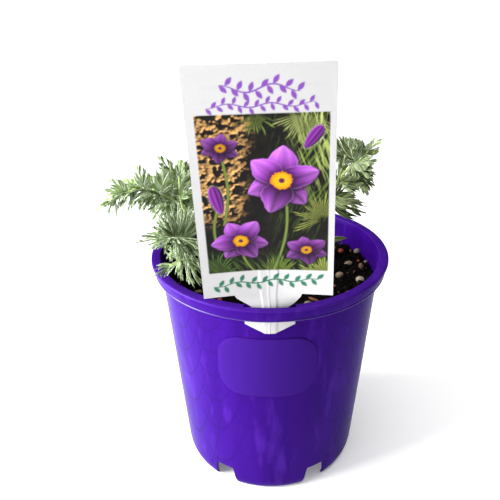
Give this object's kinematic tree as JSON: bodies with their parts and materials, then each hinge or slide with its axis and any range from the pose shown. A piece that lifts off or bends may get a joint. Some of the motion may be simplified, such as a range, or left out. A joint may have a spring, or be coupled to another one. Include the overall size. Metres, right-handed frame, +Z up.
{
  "type": "potted pasque flower",
  "caption": "Young pasque flower in leaf, growing in soil in a round plastic nursery pot with feet, with a white lock-in plant label.",
  "frame": {"origin": "centre of the overall box in X and Y, on the ground plane under the pot's feet; the pot's own axis stands at x 15.6 mm, y 3.2 mm", "axes": "+Z up along the pot's axis, the printed face of the label looks to -Y, +X to the right seen from the front"},
  "size_m": [0.1811, 0.1568, 0.2778],
  "materials": {
    "pot": "glossy injection-moulded purple plastic",
    "soil": "coarse dark potting mix of composted bark with grit",
    "rootstock": "rough bark",
    "plant_tag": "satin white polystyrene sheet",
    "wall_sticker": "plain satin vinyl",
    "leaf": "silky-haired living leaf"
  },
  "bodies": {
    "root": {"pot": "pot", "soil": "soil", "rootstock": "rootstock", "plant_tag": "plant_tag", "wall_sticker": "wall_sticker", "leaf_far_left": "leaf", "leaf_upper_left": "leaf", "leaf_back_left": "leaf", "leaf_young": "leaf", "leaf_middle_left": "leaf", "leaf_star_left": "leaf", "leaf_low_left": "leaf", "leaf_upper_right": "leaf", "leaf_right_inner": "leaf", "leaf_right": "leaf", "leaf_lower_right": "leaf", "leaf_small": "leaf", "leaf_back": "leaf", "leaf_back_right": "leaf", "leaf_centre": "leaf", "leaf_front": "leaf"}
  },
  "joints": []
}
